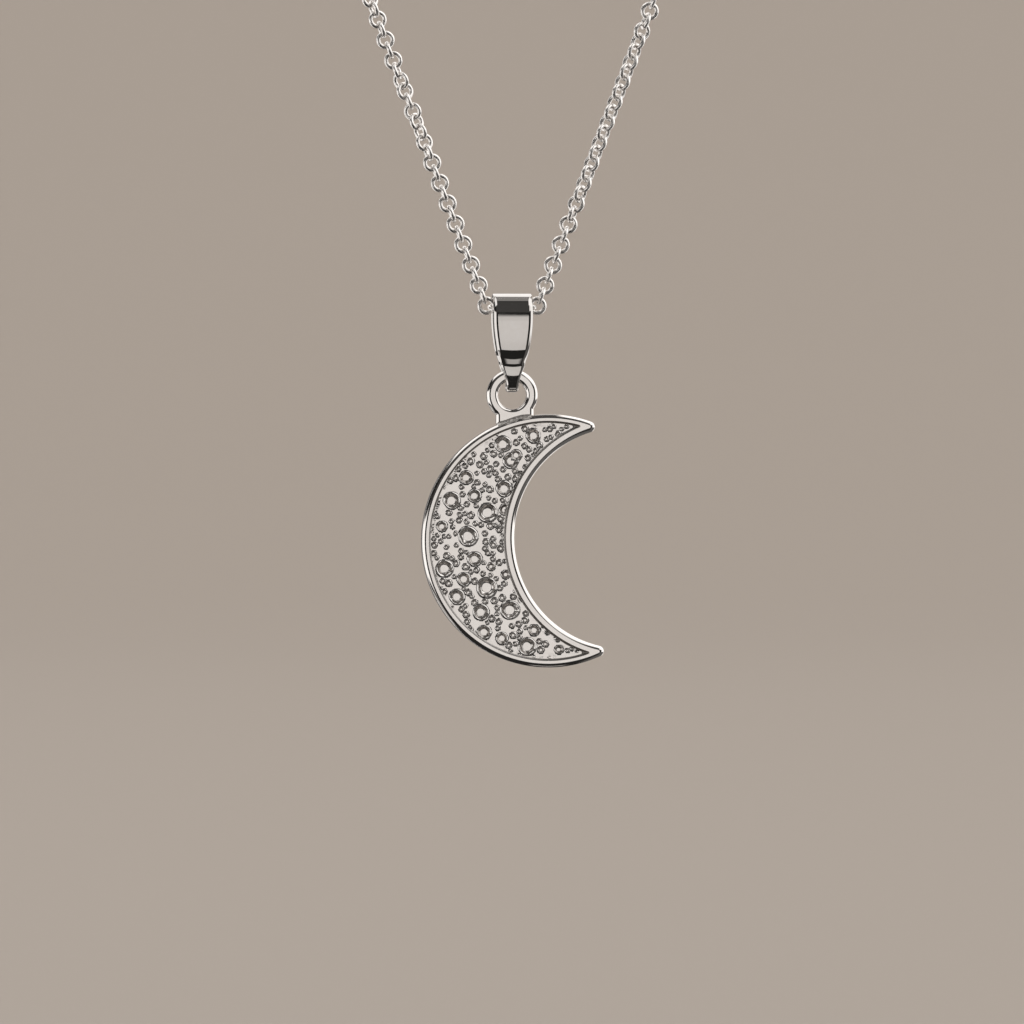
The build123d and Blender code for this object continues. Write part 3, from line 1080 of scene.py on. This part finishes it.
def ring_mesh():
    """The ring's points and faces: loops from its hole over the front and the outline to the back."""
    outline, depths = ring_outline(0.0)
    count = len(outline)
    front = ring_depth / 2
    turns = np.arctan2(outline[:, 1] - ring_z, outline[:, 0])
    circle = np.stack([np.cos(turns), np.sin(turns)], -1)
    centre = np.array([0, ring_z])
    rim = shoulder(*ring_round)
    level = np.zeros((count, 1))
    half = [(centre + circle * ring_hole / 2, level)]
    for inset, deep in shoulder(*hole_round):
        half.append((centre + circle * (ring_hole / 2 + inset), level + front - deep))
    half.append((centre + circle * (ring_hole / 2 + inset + flat_step), level + front))
    half.append((ring_outline(rim[-1][0] + flat_step)[0], level + front))
    for inset, deep in reversed(rim):
        half.append((ring_outline(inset)[0], front - deep * depths))
    half.append((outline, level))
    loops = [(flat, -y) for flat, y in half] + [(flat, y) for flat, y in reversed(half[1:-1])]
    points = np.concatenate([np.concatenate([flat[:, :1], y, flat[:, 1:]], -1) for flat, y in loops])
    return points, grid_faces(len(loops), count, True, True)


def seam_mesh():
    """The rough solder between the saddle and the moon, a closed strip that dips under both."""
    rows, columns = 90, 18
    front = -face_y
    points = []
    share = np.linspace(0, 1, columns)
    for row, x in enumerate(np.linspace(-saddle_left + seam_end_gap, saddle_right - seam_end_gap, rows)):
        top = foot_z(x) + seam_over
        low = moon_top(x) - seam_under
        along = 2 * row / (rows - 1) - 1
        size = math.sqrt(1 - along**30) * (1 - seam_end_size) + seam_end_size
        heights = top + (low - top) * share
        lumps = unevenness(np.stack([np.full(columns, x), heights], -1), SEAM_LUMPS)
        swell = seam_top + (front - seam_top) * (1 - (1 - share) ** 4) + lumps
        y = np.minimum(swell, front - seam_clear) * size
        points += [(x, -deep, z) for deep, z in zip(y, heights)]
        points += [(x, seam_back * size, z) for z in heights[::-1]]
    faces = grid_faces(rows, 2 * columns, False, True)
    faces.append(tuple(range(2 * columns)))
    faces.append(tuple(reversed(range((rows - 1) * 2 * columns, rows * 2 * columns))))
    return points, faces


ring_points, ring_faces = ring_mesh()
seam_points, seam_faces = seam_mesh()
ring_faces += [tuple(corner + len(ring_points) for corner in face) for face in seam_faces]
# The seam is darkened with painted shade; the ring itself gets none
ring_painted_shade = [0.0] * len(ring_points) + [seam_painted_shade] * len(seam_points)
ring_points = np.concatenate([ring_points, seam_points])
ring = new_piece("ring_and_saddle", ring_points, ring_faces, "moon_body", ring_silver)
set_painted_shade(ring, ring_painted_shade)


# The stage, the camera and the light
view_turn = math.radians(-5.0)
view_below_ring = 10.3
view_z = (ring_z - view_below_ring) * MM
camera_far = 0.6
frame_width = 0.0901
to_camera = Vector((math.sin(view_turn), -math.cos(view_turn), 0))
camera_data = bpy.data.cameras.new("camera")
camera_data.sensor_width = 36.0
camera_data.lens = camera_data.sensor_width * camera_far / frame_width
camera_data.clip_start = 0.01
camera = bpy.data.objects.new("camera", camera_data)
bpy.context.scene.collection.objects.link(camera)
camera.location = Vector((0, 0, view_z)) + to_camera * camera_far
camera.rotation_euler = (math.pi / 2, 0, view_turn)
bpy.context.scene.camera = camera
bpy.context.scene.view_settings.view_transform = "Standard"

# A floor that bends up into a wall, seen from the side as y and z
floor_z = -0.262
floor_end = 2.4
bend_radius = 1.6
stage_reach = 5.0
stage_top = 4.5
stage_profile = [(-stage_reach, floor_z), (floor_end, floor_z)]
for angle in np.linspace(0, math.pi / 2, 12)[1:]:
    bend_z = floor_z + bend_radius * (1 - math.cos(angle))
    stage_profile.append((floor_end + bend_radius * math.sin(angle), bend_z))
stage_profile.append((floor_end + bend_radius, stage_top))
stage_points = [(x, y, z) for y, z in stage_profile for x in (-stage_reach, stage_reach)]
stage_mesh = bpy.data.meshes.new("floor")
stage_mesh.from_pydata(stage_points, [], grid_faces(len(stage_profile), 2))
stage_mesh.polygons.foreach_set("use_smooth", [True] * len(stage_mesh.polygons))
stage_mesh.materials.append(plain("pale floor", (0.51, 0.45, 0.40), 0.9))
floor = bpy.data.objects.new("floor", stage_mesh)
bpy.context.scene.collection.objects.link(floor)
floor.visible_glossy = False

world = bpy.data.worlds.new("studio")
bpy.context.scene.world = world
world.use_nodes = True
world.cycles.sampling_method = "NONE"
tree = world.node_tree
tree.nodes.clear()

# A direction's angles in degrees. Side is to the left or right, rise is above the level, pitch goes from
# the front up over the top, and back goes from -90 in front to 90 behind
direction = node(tree, "ShaderNodeSeparateXYZ")
tree.links.new(node(tree, "ShaderNodeTexCoord").outputs["Generated"], direction.inputs[0])
right, away, up = (direction.outputs[axis] for axis in "XYZ")
forward = math_node(tree, "MULTIPLY", away, -1.0)
angles = {
    "side": math_node(tree, "DEGREES", math_node(tree, "ARCSINE", right)),
    "rise": math_node(tree, "DEGREES", math_node(tree, "ARCSINE", up)),
    "pitch": math_node(tree, "DEGREES", math_node(tree, "ARCTAN2", up, forward)),
    "back": math_node(tree, "MULTIPLY", away, 90.0),
}


def step_up(angle, at, softness):
    """0 below an angle, 1 above it, softly."""
    made = node(tree, "ShaderNodeMapRange", interpolation_type="SMOOTHSTEP")
    tree.links.new(angle, made.inputs["Value"])
    made.inputs["From Min"].default_value = at - softness
    made.inputs["From Max"].default_value = at + softness
    return made.outputs["Result"]


def light_panel(brightness, softness, **ranges):
    """A soft-edged panel of light over these ranges of angles, in degrees, as a brightness."""
    share = brightness
    for name, (low, high) in ranges.items():
        rising = step_up(angles[name], low, softness)
        falling = math_node(tree, "SUBTRACT", 1.0, step_up(angles[name], high, softness))
        share = math_node(tree, "MULTIPLY", share, math_node(tree, "MULTIPLY", rising, falling))
    return share


# The panels: brightness, softness and ranges. Where they overlap, the brightest one counts
brightest = 1.6
faint_glow = 0.020
panels = [
    light_panel(0.74, 0.8, side=(-0.8, 10.8), pitch=(-5.6, 5.6)),
    light_panel(0.80, 1.6, side=(-0.2, 10.8), pitch=(-3.6, 3.6)),
    light_panel(1.10, 0.5, side=(-1.8, 0.4), pitch=(-5.6, 5.6)),
    light_panel(0.045, 2.0, side=(-32, 26), pitch=(10, 68)),
    light_panel(0.28, 2.5, side=(-24, 14), pitch=(73, 108)),
    light_panel(1.30, 2.5, side=(-38, 14), pitch=(108, 172)),
    light_panel(1.30, 3.0, side=(45, 100), rise=(-8, 62)),
    light_panel(0.10, 4.0, side=(20, 100), rise=(-70, -8)),
    light_panel(1.40, 2.5, side=(10, 70), pitch=(48, 150)),
    light_panel(1.20, 3.0, side=(-100, -33), rise=(-19, 10), back=(-120, 24)),
    light_panel(0.45, 3.0, side=(-75, -40), rise=(-45, -26)),
    light_panel(1.20, 3.0, side=(-45, -13), pitch=(50, 108)),
    light_panel(1.20, 3.0, side=(18, 60), rise=(16, 60)),
    light_panel(1.10, 3.0, side=(-60, -10), back=(47, 82)),
    light_panel(1.20, 3.0, side=(-78, -25), rise=(-48, -12), back=(12, 60)),
    light_panel(1.20, 3.0, side=(25, 78), rise=(-48, -8), back=(11, 80)),
    light_panel(0.50, 2.0, side=(-2, 12), pitch=(-73, -61)),
    light_panel(0.15, 8.0, back=(60, 120)),
]
level = panels[0]
for panel in panels[1:]:
    level = math_node(tree, "MAXIMUM", level, panel)
level = math_node(tree, "ADD", level, faint_glow)
reflected = ramp(
    tree,
    math_node(tree, "DIVIDE", level, brightest),
    (0.0, (0.0, 0.0, 0.0)),
    (0.5, (0.82, 0.79, 0.765)),
    (1.0, (1.62, 1.60, 1.58)),
)

# The metal reflects the panels, and all else is lit by an even pale sky
ray = node(tree, "ShaderNodeLightPath")
studio = node(tree, "ShaderNodeBackground", Strength=1.0)
tree.links.new(reflected, studio.inputs["Color"])
ambient = node(tree, "ShaderNodeBackground", Color=(0.95, 0.93, 0.90, 1), Strength=0.9)
choose = node(tree, "ShaderNodeMixShader")
tree.links.new(ray.outputs["Is Glossy Ray"], choose.inputs[0])
tree.links.new(ambient.outputs[0], choose.inputs[1])
tree.links.new(studio.outputs[0], choose.inputs[2])
output = node(tree, "ShaderNodeOutputWorld")
tree.links.new(choose.outputs[0], output.inputs["Surface"])
